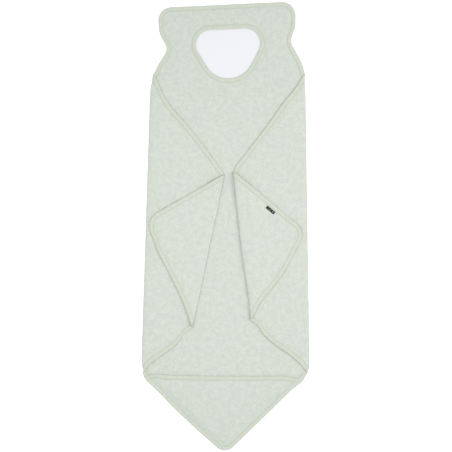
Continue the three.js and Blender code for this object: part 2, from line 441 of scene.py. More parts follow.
def lifts(points):
    # How far each of the three layers rises off the one below at these places.
    free = clearOf(foldLines, bend["near"], points)
    first = relief["first"] * upward(firstField.at(points)) * free
    second = first + relief["second"] * upward(secondField.at(points)) * free
    second = second + shoulder("second", points) * clearOf(restCreases.values(), bend["nearSecond"], points)
    third = second + relief["third"] * upward(thirdField.at(points)) * free + shoulder("third", points)
    for layer, centre, reach, height in bumps:
        bump = height * mm * softSpot(points, centre, reach)
        third = third + bump * (1 if layer == 2 else free)
        second = second + (bump * free if layer == 1 else 0)
    return first, second, third


def signChanges(depth):
    # Where a closed run of depths changes sign, and the share of the way to the next point.
    after = np.roll(depth, -1)
    index = np.nonzero((depth < 0) != (after < 0))[0]
    return index, depth[index] / (depth[index] - after[index])


def creaseEnd(number, side, upper):
    # Where a crease meets the outline, in its folded place.
    crease = creases[side][number]
    line = outline - crease.point
    along = line @ crease.along
    index, share = signChanges(line @ crease.out)
    places = along[index] + share * (np.roll(along, -1)[index] - along[index])
    ends = crease.point + np.outer(places, crease.along)
    end = ends[np.argmax(ends[:, 1] * upper)]
    if number == 0:
        return end
    flat = np.array([[end[0], end[1], midFirst]])
    return creases[side][0].fold(flat)[0, :2]


# Where each crease meets the edge the corner is soft, and is drawn in:
# (crease, side, 1 for its upper end, how far in millimetres, over what reach, towards where).
softCorners = ((0, "left", 1, 6, 44, (1, -0.35)), (0, "right", 1, 4, 32, (-0.8, -0.6)),
               (0, "left", -1, 8, 30, (0.9, 0.4)), (0, "right", -1, 3, 24, (-0.9, 0.4)),
               (1, "left", 1, 2.5, 10, (-0.6, -0.8)), (1, "right", 1, 4, 16, (0.7, -0.7)),
               (1, "left", -1, 3, 12, (-0.5, 0.8)), (1, "right", -1, 3, 12, (0.5, 0.8)))
pullPower = 1.3
cornerPulls = [(creaseEnd(number, side, upper), draw * mm, reach * mm, unit(np.array(towards)))
               for number, side, upper, draw, reach, towards in softCorners]


def softened(points):
    points = points.copy()
    for end, draw, reach, towards in cornerPulls:
        away = np.linalg.norm(points[:, :2] - end, axis=1)
        points[:, :2] += np.outer(draw * np.clip(1 - away / reach, 0, 1) ** pullPower, towards)
    return points


# Stretches that lie a little aside, in millimetres: (layer, centre, reach, move).
nudges = (("second", (150, 365), 62, (-12, -10)), ("second", (-160, 345), 60, (-5, -6)),
          ("second", (-150, -315), 70, (5, -10)), ("second", (125, -300), 70, (-6, -9)),
          ("all", (-172, 495), 26, (5, 0)), ("all", (205, 450), 36, (4.5, 1)),
          ("all", (-222, 408), 34, (1.5, 8)), ("all", (222, 412), 34, (-1, 9)),
          ("first", (-205, -425), 40, (-9, 4)), ("all", (-234, -402), 32, (0, -11)),
          ("all", (232, -402), 30, (0, -6)), ("all", (-238, -414), 15, (4, 3)),
          ("all", (238, -412), 15, (-3.5, 2)), ("all", (58, -190), 75, (5, 0)),
          ("all", (-92, -262), 32, (-2, -11)), ("all", (68, -240), 32, (1.5, -12)),
          ("third", (150, -130), 80, (8, -7)), ("third", (-165, -60), 60, (-4, -3)))


def nudged(points, layer):
    points = points.copy()
    free = clearOf(foldLines, bend["near"], points)
    for where, centre, reach, move in nudges:
        share = softSpot(points, centre, reach) * {"all": 1, layer: free}.get(where, 0)
        points[:, :2] += np.outer(share, np.array(move) * mm)
    return points


yokeLay = {"start": -20 * mm, "length": 90 * mm, "turnDegrees": 3.2, "aside": 4.5 * mm}
hoodLay = {"from": -380 * mm, "to": -615 * mm, "left": 12 * mm, "right": 1.5 * mm, "down": 3.5 * mm,
           "leftFrom": -20 * mm, "rightFrom": 0, "fullAt": 60 * mm}


def asLaid(points):
    # The yoke lies a little turned to the rest of the towel, and the hood's sides bow a little outwards.
    baseRow = cut["baseHeight"] + patternShift
    share = smooth(points[:, 1], baseRow + yokeLay["start"], baseRow + yokeLay["start"] + yokeLay["length"])
    turn = math.radians(yokeLay["turnDegrees"]) * share
    pivot = np.array([0.0, baseRow])
    offset = points[:, :2] - pivot
    points = points.copy()
    points[:, 0] = pivot[0] + offset[:, 0] * np.cos(turn) - offset[:, 1] * np.sin(turn)
    points[:, 1] = pivot[1] + offset[:, 0] * np.sin(turn) + offset[:, 1] * np.cos(turn)
    points[:, 0] += yokeLay["aside"] * share
    middle = np.clip((points[:, 1] - hoodLay["from"]) / (hoodLay["to"] - hoodLay["from"]), 0, 1)
    bulge = np.sin(math.pi * middle)
    onRight = smooth(points[:, 0], hoodLay["rightFrom"], hoodLay["fullAt"])
    onLeft = smooth(-points[:, 0], hoodLay["leftFrom"], hoodLay["fullAt"])
    points[:, 0] += bulge * (hoodLay["right"] * onRight - hoodLay["left"] * onLeft)
    points[:, 1] -= hoodLay["down"] * middle
    return points


def placed(points, side, layer):
    # Folds flat pattern points (x, y, height) into their place, and adds each layer's rise.
    order = layers.index(layer)
    folded, share = points.copy(), np.zeros(len(points))
    if order:
        beyond = creases[side][order - 1].beyond(points)
        share = smooth(beyond, -bend["setBack"], bendLength - bend["setBack"])
        for crease in reversed(creases[side][:order]):
            folded = crease.fold(folded)
    rise = lifts(folded)
    folded[:, 2] += rise[max(order - 1, 0)] * (1 - share) + rise[order] * share
    return asLaid(softened(nudged(folded, layer)))


# The profile's pairs are a distance in from the edge and a height, in millimetres.
tape = {"width": 13 * mm, "seamAt": 10.9 * mm, "step": 3 * mm, "finer": 5, "finerWithin": 12 * mm,
        "profile": ((0, 0), (0.25, 0.65), (0.8, 1.1), (1.8, 1.38), (3.5, 1.48), (6, 1.5), (8.4, 1.46),
                    (9.8, 1.34), (10.5, 1.12), (11.3, 1.12), (12, 1.32), (12.6, 1.26), (13, 0.95)),
        "doubledHalf": 2.2 * mm}


def clothHalf(distance):
    # Half the cloth's thickness: thin inside the tape, pinched beside it, then up to full loft.
    full = cloth["pinched"] + (cloth["half"] - cloth["pinched"]) * smooth(
        distance, tape["width"], cloth["fullAt"])
    return np.where(distance < tape["width"], cloth["tongue"], full)


# The seam's reach is in millimetres, as the stations along the mouth are.
hood = {"mouthFromTip": 224 * mm, "halfMouth": 227.4 * mm, "tapeEnds": 7 * mm, "seamReach": 206, "steps": 150,
        "edgeMiddle": 3.0 * mm, "centreDrop": 0.25 * mm, "thinner": 0.2, "fullAt": 30 * mm,
        "heldFrom": 30 * mm, "heldTo": 11 * mm, "heldAtMouth": 8 * mm,
        "puff": 1.6 * mm, "puffAt": 90 * mm, "puffAtMouth": 0.35,
        "sag": 5.5 * mm, "sagReach": 60 * mm, "sagPower": 0.6, "dip": 7 * mm, "dipAt": 200 * mm,
        "dipReach": 24 * mm}
mouthRow = patternShift - cut["tipDepth"] + hood["mouthFromTip"]


def hoodShare(flat):
    # 1 where the outer tape holds the hood's layer as well, and 0 before the creases and above the hood.
    toCrease = -np.maximum(creases["left"][0].beyond(flat), creases["right"][0].beyond(flat))
    belowMouth = smooth(mouthRow - flat[:, 1], -hood["heldAtMouth"], hood["heldAtMouth"])
    return smooth(toCrease, hood["heldTo"], hood["heldFrom"]) * belowMouth


def centreSurfaces(flat, distance):
    # Lower and upper face of the centre's cloth, which is pressed thinner beneath the hood's edges.
    squeeze = hoodShare(flat) * (1 - smooth(distance, tape["width"], hood["fullAt"]))
    middle = midFirst - hood["centreDrop"] * squeeze
    half = clothHalf(distance) * (1 - hood["thinner"] * squeeze)
    return middle - half, middle + half


def hoodMiddle(flat, distance):
    # The hood's middle surface: low inside the outer tape, then over the centre, and a little puffed up.
    free = smooth(distance, tape["width"] - 2 * mm, hood["fullAt"])
    inwards = mouthRow - flat[:, 1]
    first, second, _ = lifts(flat)
    puff = hood["puff"] * smooth(distance, tape["width"], hood["puffAt"]) * (
        hood["puffAtMouth"] + (1 - hood["puffAtMouth"]) * smooth(inwards, 0, hood["puffAt"]))
    return hood["edgeMiddle"] + (midFirst + layerPitch - hood["edgeMiddle"]) * free + puff + (
        second - first) * free


def hoodSurfaces(flat, distance):
    inwards = mouthRow - flat[:, 1]
    squeeze = 1 - smooth(distance, tape["width"], hood["fullAt"])
    half = np.minimum(clothHalf(distance), clothHalf(inwards)) * (1 - hood["thinner"] * squeeze)
    middle = hoodMiddle(flat, distance)
    return middle - half, middle + half


def plainSurfaces(flat, distance):
    half = clothHalf(distance)
    return midFirst - half, midFirst + half


def mouthSagged(flat):
    # The hood's free edge hangs a little towards the tip.
    flat = flat.copy()
    nearMouth = 1 - smooth(mouthRow - flat[:, 1], 0, hood["sagReach"])
    span = np.clip(flat[:, 0] / hood["halfMouth"], -1, 1)
    dip = hood["dip"] * np.exp(-((flat[:, 0] - hood["dipAt"]) / hood["dipReach"]) ** 2)
    flat[:, 1] -= nearMouth * (hood["sag"] * (1 - span ** 2) ** hood["sagPower"] + dip)
    return flat


def ringLines(alongMouth):
    # Lines of finer points beside the edges, and beside the hood's mouth.
    rings = []
    for distance in cloth["rings"]:
        rings += [roundedLoop(outlineCorners, distance * mm), roundedLoop(neckCorners, -distance * mm)]
    if alongMouth:
        rows = [mouthRow - distance * mm for distance in cloth["rings"]]
        rings += [np.array([(-hood["halfMouth"], y), (hood["halfMouth"], y)]) for y in rows]
    return rings


def clothPiece(name, loops, side, layer, surfaces=plainSurfaces):
    isHood = surfaces is hoodSurfaces
    crease = creases[side][layers.index(layer) - 1] if side else None
    flat, faces, area = triangulated(loops, ringLines(isHood), crease)
    distance = edgeDistance(flat)
    lower, upper = surfaces(flat, distance)
    clear = distance - tape["width"]
    tuft = relief["tuft"] * smooth(clear, 0, relief["tuftAt"])
    loft = relief["loft"] * smooth(clear, 0, relief["loftAt"]) * loftField.at(flat)
    if crease:
        # The face on the outside of the crease is stretched thinner there.
        fromCrease = np.abs(crease.beyond(flat) + bend["setBack"] - bendLength / 2)
        thinner = shoulders["thinner"] * (1 - smooth(fromCrease, shoulders["thinTo"], shoulders["thickFrom"]))
        lower = lower + thinner * (crease.up > 0)
        upper = upper - thinner * (crease.up < 0)
    if layer == "second":
        # This layer lies upside down, so its lower face shows and the other rests on the centre.
        turned = smooth(crease.beyond(flat), bendLength, bendLength + relief["turnedAt"])
        lower = lower - (tuft * upward(tuftField.at(flat)) + loft) * turned
    else:
        upper = upper + tuft * tuftField.at(flat) + loft
        lower = np.maximum(lower + tuft * tuftField.at(flat + 1.0) - loft, 0)
    lying = mouthSagged(flat) if isHood else flat
    points = np.concatenate([placed(np.column_stack([lying, heights]), side, layer)
                             for heights in (upper, lower)])
    count = len(flat)
    walls = [(a, a + count, b + count, b) for a, b in rimEdges(faces)]
    every = faces.tolist() + (faces[:, ::-1] + count).tolist() + walls
    made = meshObject(name, points, every, terry, np.concatenate([flat, flat]))
    print(name, len(points), "points", round(area, 4), "m2")
    return made, np.ptp(flat, axis=0), area


def cutBy(loop, crease, keepInside):
    # The part of a loop inside the crease's cut, or beyond it.
    point = crease.point - crease.out * bend["cutBefore"]
    return clipped(loop, point, crease.out if keepInside else -crease.out)


def regionLoops():
    # The flat outline of each piece of cloth, between the cuts that lie hidden beside the folds.
    whole = roundedLoop(outlineCorners, cloth["edgeInset"])
    loops = {"centre": [whole, roundedLoop(neckCorners, -cloth["edgeInset"])]}
    for side, (first, second) in creases.items():
        loops["centre"][0] = cutBy(loops["centre"][0], first, True)
        beyond = cutBy(whole, first, False)
        loops[side + "_side"] = [cutBy(beyond, second, True)]
        loops[side + "_corner"] = [cutBy(whole, second, False)]
    mouth = np.array([0.0, mouthRow - cloth["edgeInset"]])
    loops["hood"] = [clipped(whole, mouth, np.array([0.0, 1.0]))]
    return loops


def lengthAlong(points):
    # The length of a line up to each of its points.
    return np.concatenate([[0], np.cumsum(np.linalg.norm(np.diff(points, axis=0), axis=1))])


class Track:
    # A run round an outline, with stations that every distance in from it shares.
    def __init__(self, corners, inward):
        self.corners = corners
        self.inward = inward
        base = self.loop(0)
        gaps = np.linalg.norm(np.roll(base, -1, axis=0) - base, axis=1)
        self.count = len(base)
        counts = np.maximum(1, np.round(gaps / tape["step"])).astype(int)
        self.stations = np.concatenate([index + np.arange(n) / n for index, n in enumerate(counts)])
        middle = self.at(self.stations, tape["width"] / 2)
        depths = [np.abs(crease.beyond(middle)) for pair in creases.values() for crease in pair]
        near = np.min(depths, axis=0) < tape["finerWithin"]
        following = np.append(self.stations[1:], self.count)
        finer = [start + (end - start) * np.arange(tape["finer"]) / tape["finer"]
                 for start, end in zip(self.stations[near], following[near])]
        self.stations = np.unique(np.round(np.concatenate([self.stations] + finer), 6))

    def loop(self, distance):
        return roundedLoop(self.corners, self.inward * distance)

    def at(self, stations, distance):
        loop = self.loop(distance)
        index = np.floor(stations).astype(int)
        share = (stations - index)[:, None]
        return loop[index % self.count] * (1 - share) + loop[(index + 1) % self.count] * share

    def crossings(self, crease):
        # Stations at which the middle of the tape meets the crease's cut.
        index, share = signChanges(crease.beyond(self.loop(tape["width"] / 2)) + bend["cutBefore"])
        return sorted((index + share).tolist())

    def between(self, start, end):
        # Stations from start to end, going round past the first corner where end is smaller.
        if end <= start:
            end += self.count
        every = np.concatenate([self.stations, self.stations + self.count])
        inner = every[(every > start + 1e-3) & (every < end - 1e-3)]
        return np.concatenate([[start], inner, [end]])


def tapeHeights(flat, heights, layer, alone):
    # The tape's surface: thicker where it holds the hood too, and following the hood along its mouth.
    if alone:
        distance = distanceTo(flat, outline)
        return hoodMiddle(flat, distance) + heights
    if layer != "first":
        return midFirst + heights
    share = hoodShare(flat)
    half = cloth["half"] + (tape["doubledHalf"] - cloth["half"]) * share
    return half + heights * half / cloth["half"]


def sectionPoints():
    # Round the tape's section, from its inner edge on top, over the outer edge, to the inner edge below.
    top = [(d * mm, h * mm) for d, h in tape["profile"]]
    return top[::-1] + [(d, -h) for d, h in top[1:]]


def outwards(made):
    # Turns the faces round where the closed mesh came out inside out.
    mesh = bmesh.new()
    mesh.from_mesh(made.data)
    if mesh.calc_volume(signed=True) < 0:
        bmesh.ops.reverse_faces(mesh, faces=mesh.faces)
        mesh.to_mesh(made.data)
    mesh.free()


def onTape(flat, height, side, layer, alone):
    # Pattern points at a height above or below the cloth's middle, in their place on the laid towel.
    heights = tapeHeights(flat, np.full(len(flat), height), layer, alone)
    return placed(np.column_stack([mouthSagged(flat) if alone else flat, heights]), side, layer)


def tapePiece(name, ways, side, layer, alone=False, closed=False):
    # The tape's section swept along a run; ways gives the flat line at a distance in from the edge.
    section = sectionPoints()
    rows = [onTape(ways(distance), height, side, layer, alone) for distance, height in section]
    swept = np.stack(rows, axis=1)
    count, ring = swept.shape[:2]
    lengths = lengthAlong(ways(tape["width"] / 2)), lengthAlong(np.array(section))
    places = np.stack(np.meshgrid(*lengths, indexing="ij"), axis=-1).reshape(-1, 2)
    faces = []
    for k in range(count if closed else count - 1):
        a, b = k * ring, (k + 1) % count * ring
        faces += [(a + j, a + (j + 1) % ring, b + (j + 1) % ring, b + j) for j in range(ring)]
    if not closed:
        faces.append(tuple(reversed(range(ring))))
        faces.append(tuple((count - 1) * ring + j for j in range(ring)))
    made = meshObject(name, swept.reshape(-1, 3), faces, tapeMaterial, places)
    outwards(made)
    print(name, count * ring, "points")
    return made


thread = {"pitch": 3.3 * mm, "length": 2.4 * mm, "thickness": 0.55 * mm, "height": 1.17 * mm, "wobble": 0.12,
          "seed": 4}
nearby = ((0, 0), (0.01, 0), (0, 0.3 * mm))  # a stitch's own place, a little ahead, and a little further in


def seamPoints(at, stations, side, layer, alone=False):
    # Places, directions and facings for a row of stitches on each face of the tape.
    length = lengthAlong(at(stations, tape["seamAt"]))
    count = max(2, int(length[-1] / thread["pitch"]))
    middle = np.interp((np.arange(count) + 0.5) * length[-1] / count, length, stations)
    found = []
    for height in (thread["height"], -thread["height"]):
        here, ahead, across = (onTape(at(middle + step, tape["seamAt"] + inwards), height, side, layer, alone)
                               for step, inwards in nearby)
        found.append((here, ahead - here, np.cross(ahead - here, across - here)))
    return [np.concatenate(parts) for parts in zip(*found)]


def nodeIn(tree, kind, values=(), **attributes):
    # A new node with its attributes set, and each input given a value or a link from another node.
    node = tree.nodes.new(kind)
    for label, value in attributes.items():
        setattr(node, label, value)
    for socket, value in dict(values).items():
        if isinstance(value, bpy.types.NodeSocket):
            tree.links.new(value, node.inputs[socket])
        else:
            node.inputs[socket].default_value = value
    return node


def stitchTree():
    # A small ball at each point, stretched along the seam, with a little slant of its own.
    tree = bpy.data.node_groups.new("stitches", "GeometryNodeTree")
    for label, kind in (("Geometry", "Geometry"), ("Stitch Length", "Float"), ("Stitch Thickness", "Float"),
                        ("Wobble", "Float"), ("Seed", "Int"), ("Material", "Material")):
        tree.interface.new_socket(label, in_out="INPUT", socket_type="NodeSocket" + kind)
    tree.interface.new_socket("Geometry", in_out="OUTPUT", socket_type="NodeSocketGeometry")
    given = tree.nodes.new("NodeGroupInput").outputs
    toPoints = nodeIn(tree, "GeometryNodeMeshToPoints", {"Mesh": given["Geometry"]})
    ball = nodeIn(tree, "GeometryNodeMeshUVSphere", {"Segments": 6, "Rings": 4, "Radius": 0.5})
    upright = nodeIn(tree, "GeometryNodeTransform",
                     {"Geometry": ball.outputs["Mesh"], "Rotation": (0, math.pi / 2, 0)})
    along, facing = (nodeIn(tree, "GeometryNodeInputNamedAttribute", {"Name": label},
                            data_type="FLOAT_VECTOR").outputs["Attribute"] for label in ("along", "facing"))
    turn = nodeIn(tree, "FunctionNodeAxesToRotation", {"Primary Axis": along, "Secondary Axis": facing},
                  primary_axis="X", secondary_axis="Z")
    slant = nodeIn(tree, "FunctionNodeRandomValue",
                   {"Min": (0, 0, -1), "Max": (0, 0, 1), "Seed": given["Seed"]}, data_type="FLOAT_VECTOR")
    slantBy = nodeIn(tree, "ShaderNodeVectorMath", {0: slant.outputs["Value"], "Scale": given["Wobble"]},
                     operation="SCALE")
    toTurn = nodeIn(tree, "FunctionNodeEulerToRotation", {"Euler": slantBy.outputs["Vector"]})
    rotated = nodeIn(tree, "FunctionNodeRotateRotation",
                     {"Rotation": turn.outputs["Rotation"], "Rotate By": toTurn.outputs["Rotation"]},
                     rotation_space="LOCAL")
    size = nodeIn(tree, "ShaderNodeCombineXYZ", {"X": given["Stitch Length"], "Y": given["Stitch Thickness"],
                                                 "Z": given["Stitch Thickness"]})
    put = nodeIn(tree, "GeometryNodeInstanceOnPoints",
                 {"Points": toPoints.outputs["Points"], "Instance": upright.outputs["Geometry"],
                  "Rotation": rotated.outputs["Rotation"], "Scale": size.outputs["Vector"]})
    realize = nodeIn(tree, "GeometryNodeRealizeInstances", {"Geometry": put.outputs["Instances"]})
    smoothed = nodeIn(tree, "GeometryNodeSetShadeSmooth", {"Geometry": realize.outputs["Geometry"]})
    paint = nodeIn(tree, "GeometryNodeSetMaterial",
                   {"Geometry": smoothed.outputs["Geometry"], "Material": given["Material"]})
    nodeIn(tree, "NodeGroupOutput", {"Geometry": paint.outputs["Geometry"]})
    return tree


def stitched(name, rows):
    # Rows of small stitches as one plain mesh.
    points, along, facing = (np.concatenate(parts) for parts in zip(*rows))
    seeds = meshObject(name + "_places", points, [], None)
    for label, values in (("along", along), ("facing", facing)):
        attribute = seeds.data.attributes.new(label, "FLOAT_VECTOR", "POINT")
        attribute.data.foreach_set("vector", values.astype(np.float32).ravel())
    modifier = seeds.modifiers.new("stitches", "NODES")
    modifier.node_group = stitchNodes
    values = {"Stitch Length": thread["length"], "Stitch Thickness": thread["thickness"],
              "Wobble": thread["wobble"], "Seed": thread["seed"], "Material": threadMaterial}
    for item in stitchNodes.interface.items_tree:
        if item.in_out == "INPUT" and item.name in values:
            modifier[item.identifier] = values[item.name]
    bpy.context.view_layer.update()
    graph = bpy.context.evaluated_depsgraph_get()
    mesh = bpy.data.meshes.new_from_object(seeds.evaluated_get(graph), depsgraph=graph)
    made = bpy.data.objects.new(name, mesh)
    bpy.context.scene.collection.objects.link(made)
    bpy.data.objects.remove(seeds)
    print(name, len(points), "stitches", len(mesh.polygons), "faces")
    return made


def mathIn(tree, operation, first, second):
    return nodeIn(tree, "ShaderNodeMath", {0: first, 1: second}, operation=operation).outputs[0]


def sumIn(tree, *parts):
    # The sum of several values, each times its own weight.
    total = None
    for value, weight in parts:
        part = mathIn(tree, "MULTIPLY", value, weight)
        total = part if total is None else mathIn(tree, "ADD", total, part)
    return total


def rangeIn(tree, value, low, high, least=0.0):
    # A value between low and high, as a share between least and 1.
    values = {"Value": value, "From Min": low, "From Max": high, "To Min": least}
    return nodeIn(tree, "ShaderNodeMapRange", values).outputs["Result"]


def mixIn(tree, share, first, second, blend="MIX"):
    # Two colours mixed by a share.
    return nodeIn(tree, "ShaderNodeMix", {0: share, 6: first, 7: second}, data_type="RGBA",
                  blend_type=blend).outputs[2]


def noiseIn(tree, place, size, detail, rough):
    # A soft random value about 0.5, whose bumps are about this size.
    values = {"Vector": place, "Scale": 1 / size, "Detail": detail, "Roughness": rough}
    return nodeIn(tree, "ShaderNodeTexNoise", values, noise_dimensions="2D").outputs[0]


def effectGroup(name):
    # A shader group that takes a place on the pattern.
    group = bpy.data.node_groups.new(name, "ShaderNodeTree")
    group.interface.new_socket("Place", in_out="INPUT", socket_type="NodeSocketVector")
    return group, group.nodes.new("NodeGroupInput").outputs[0]


def puttingOut(group, **values):
    # Gives the group its outputs, one for each named value.
    for label in values:
        group.interface.new_socket(label, in_out="OUTPUT", socket_type="NodeSocketFloat")
    nodeIn(group, "NodeGroupOutput", values)
    return group


pile = {"loop": 1.5 * mm, "tuft": 4.5 * mm, "patch": 14 * mm, "cloud": 70 * mm}


def pileGroup():
    # Terry loops: small round tops, in tufts that lean together. Shade darkens the colour between the loops
    # and on the lower tufts as painted shade, and adds slow patches of darker tone.
    group, place = effectGroup("terry_pile")
    cells = nodeIn(group, "ShaderNodeTexVoronoi", {"Vector": place, "Scale": 1 / pile["loop"]},
                   voronoi_dimensions="2D", feature="F1")
    loopTop = mathIn(group, "SUBTRACT", 1.0, cells.outputs["Distance"])
    tuft = noiseIn(group, place, pile["tuft"], 3, 0.6)
    patch = noiseIn(group, place, pile["patch"], 2, 0.5)
    cloud = noiseIn(group, place, pile["cloud"], 1, 0.5)
    return puttingOut(group, Height=sumIn(group, (loopTop, 0.55), (tuft, 1.1)),
                      Shade=sumIn(group, (loopTop, 0.3), (tuft, 0.5), (patch, 0.35)),
                      Warmth=sumIn(group, (patch, 0.6), (cloud, 0.6)))


# Painted shade along the sewn edges: the shade value is cut to seamShade of itself up to darkTo from the
# edge, and is whole again by unshadedFrom.
knit = {"rib": 1.1 * mm, "course": 0.9 * mm, "uneven": 9 * mm, "seamShade": 0.1, "darkTo": 1.2 * mm,
        "unshadedFrom": 3.4 * mm}
wavesPerScale = 3.1  # a wave texture of scale 1 repeats about this often in a metre
tapeAround = float(lengthAlong(np.array(sectionPoints()))[-1])


def wavesIn(tree, place, size, direction, distortion, detail, detailScale):
    values = {"Vector": place, "Scale": 1 / (wavesPerScale * size), "Distortion": distortion,
              "Detail": detail, "Detail Scale": detailScale}
    return nodeIn(tree, "ShaderNodeTexWave", values, wave_type="BANDS",
                  bands_direction=direction).outputs["Fac"]


def knitGroup():
    # Fine knit: short ribs across the tape, a little uneven. Its colour is lighter where the ribs and
    # unevenness stand higher, and painted shade darkens it along the sewn edge on both faces, where the tape
    # turns in.
    group, place = effectGroup("fine_knit")
    ribs = wavesIn(group, place, knit["rib"], "X", 1.5, 1, 2)
    courses = wavesIn(group, place, knit["course"], "Y", 1.0, 2, 1)
    uneven = noiseIn(group, place, knit["uneven"], 3, 0.6)
    weave = mathIn(group, "MULTIPLY", ribs, courses)
    across = nodeIn(group, "ShaderNodeSeparateXYZ", {0: place}).outputs["Y"]
    toEdge = mathIn(group, "MINIMUM", across, mathIn(group, "SUBTRACT", tapeAround, across))
    # Painted shade: the colour darkens towards each sewn edge of the tape.
    edgeShade = rangeIn(group, toEdge, knit["darkTo"], knit["unshadedFrom"], knit["seamShade"])
    shade = sumIn(group, (weave, 0.35), (uneven, 0.65))
    return puttingOut(group, Height=sumIn(group, (weave, 0.6), (uneven, 0.8)),
                      Shade=mathIn(group, "MULTIPLY", shade, edgeShade))


shadeRange, warmthRange = (0.35, 0.85), (0.45, 0.75)  # what a group's values lie between


def newMaterial(name, roughness, specular):
    material = bpy.data.materials.new(name)
    material.use_nodes = True
    shader = material.node_tree.nodes["Principled BSDF"]
    shader.inputs["Roughness"].default_value = roughness
    shader.inputs["Specular IOR Level"].default_value = specular
    return material, material.node_tree, shader


def fabricMaterial(name, group, look):
    # Base colour runs from dark to light with the group's shade, and warm tints it where the group says.
    material, tree, shader = newMaterial(name, 0.95, 0.15)
    place = nodeIn(tree, "ShaderNodeUVMap", uv_map="pattern")
    effect = nodeIn(tree, "ShaderNodeGroup", node_tree=group)
    tree.links.new(place.outputs["UV"], effect.inputs["Place"])
    shade = rangeIn(tree, effect.outputs["Shade"], *shadeRange)
    colour = mixIn(tree, shade, (*look["dark"], 1), (*look["light"], 1))
    if "Warmth" in effect.outputs:
        warmth = rangeIn(tree, effect.outputs["Warmth"], *warmthRange)
        colour = mixIn(tree, warmth, colour, (*look["warm"], 1), "MULTIPLY")
    tree.links.new(colour, shader.inputs["Base Color"])
    bump = nodeIn(tree, "ShaderNodeBump", {"Strength": 0.5, "Distance": look["bump"],
                                           "Height": effect.outputs["Height"]})
    tree.links.new(bump.outputs["Normal"], shader.inputs["Normal"])
    shader.inputs["Sheen Weight"].default_value = look["sheen"]
    shader.inputs["Sheen Roughness"].default_value = 0.6
    return material


def plainMaterial(name, dark, light, size, roughness):
    # A colour with faint slow variation.
    material, tree, shader = newMaterial(name, roughness, 0.2)
    place = nodeIn(tree, "ShaderNodeTexCoord").outputs["Object"]
    colour = mixIn(tree, noiseIn(tree, place, size, 2, 0.5), (*dark, 1), (*light, 1))
    tree.links.new(colour, shader.inputs["Base Color"])
    return material


def paleMaterial(name, look):
    # White paper that is a little greyer round one place.
    material, tree, shader = newMaterial(name, 0.9, 0.1)
    place = nodeIn(tree, "ShaderNodeTexCoord").outputs["Object"]
    away = nodeIn(tree, "ShaderNodeVectorMath", {0: place, 1: (*look["around"], 0)}, operation="DISTANCE")
    share = rangeIn(tree, away.outputs["Value"], look["reach"] * look["even"], look["reach"])
    colour = mixIn(tree, share, (*look["inner"], 1), (*look["outer"], 1))
    tree.links.new(colour, shader.inputs["Base Color"])
    return material


terryLook = {"dark": (0.395, 0.423, 0.382), "light": (0.515, 0.55, 0.503), "warm": (1.0, 1.0, 0.97),
             "bump": 0.9 * mm, "sheen": 0.1}
tapeLook = {"dark": (0.43, 0.463, 0.396), "light": (0.525, 0.565, 0.483), "bump": 0.35 * mm, "sheen": 0.05}
paperLook = {"around": (0.0, patternShift + cut["baseHeight"] + 60 * mm), "reach": 122 * mm, "even": 0.98,
             "inner": (0.605, 0.61, 0.634), "outer": (0.93, 0.93, 0.93)}
terry = fabricMaterial("sage_terry", pileGroup(), terryLook)
tapeMaterial = fabricMaterial("sage_knit_tape", knitGroup(), tapeLook)
# The thread is darker than the tape: partly its own colour, partly painted shade of the sewn line.
threadMaterial = plainMaterial("sage_thread", (0.27, 0.30, 0.235), (0.35, 0.38, 0.30), 3 * mm, 0.7)
labelMaterial = plainMaterial("label_weave", (0.008, 0.009, 0.012), (0.02, 0.021, 0.026), 0.6 * mm, 0.6)
markMaterial = plainMaterial("label_marks", (0.30, 0.31, 0.33), (0.50, 0.50, 0.51), 0.5 * mm, 0.6)
paper = paleMaterial("floor_paper", paperLook)
stitchNodes = stitchTree()
print("materials made")

# Bodies
bodyPairs = {"second": lambda side: ("centre", side + "_side"),
             "third": lambda side: (side + "_side", side + "_corner")}


def attach(made, side, layer, *nodes):
    # The piece moves with the centre's body when it lies in the first layer; in the other layers its place is
    # baked into its mesh.
    if layer == "first":
        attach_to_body(made, "centre")
    else:
        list(bodyPairs[layer](side))
        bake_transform(made)
    if nodes:
        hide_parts(*nodes)
    return made


# Cloth
loops = regionLoops()
cloths = {"centre": clothPiece("centre_cloth", loops["centre"], None, "first", centreSurfaces),
          "hood": clothPiece("hood_cloth", loops["hood"], None, "first", hoodSurfaces)}
for side in outward:
    for part, layer in (("side", "second"), ("corner", "third")):
        key = side + "_" + part
        cloths[key] = clothPiece(key + "_cloth", loops[key], side, layer)
print("cloth made")

# Tape, round the outline from the tip: up the right side to the yoke, and then down the left side.
track = Track(outlineCorners, 1)
neckTrack = Track(neckCorners, -1)
rightLow, rightHigh = track.crossings(creases["right"][0])
rightCornerLow, rightCornerHigh = track.crossings(creases["right"][1])
leftHigh, leftLow = track.crossings(creases["left"][0])
leftCornerHigh, leftCornerLow = track.crossings(creases["left"][1])
runs = {"hood_edge_tape": (leftLow, rightLow, None, "first"),
        "right_side_lower_tape": (rightLow, rightCornerLow, "right", "second"),
        "right_corner_tape": (rightCornerLow, rightCornerHigh, "right", "third"),
        "right_side_upper_tape": (rightCornerHigh, rightHigh, "right", "second"),
        "yoke_tape": (rightHigh, leftHigh, None, "first"),
        "left_side_upper_tape": (leftHigh, leftCornerHigh, "left", "second"),
        "left_corner_tape": (leftCornerHigh, leftCornerLow, "left", "third"),
        "left_side_lower_tape": (leftCornerLow, leftLow, "left", "second")}
tapes, seams = {}, {}
for name, (start, end, side, layer) in runs.items():
    stations = track.between(start, end)
    tapes[name] = tapePiece(name, lambda distance: track.at(stations, distance), side, layer)
    seams.setdefault((side, layer), []).append(seamPoints(track.at, stations, side, layer))
tapes["neck_tape"] = tapePiece("neck_tape", lambda distance: neckTrack.at(neckTrack.stations, distance),
                               None, "first", closed=True)
neckEnds = np.append(neckTrack.stations, neckTrack.count)
seams[(None, "first")].append(seamPoints(neckTrack.at, neckEnds, None, "first"))


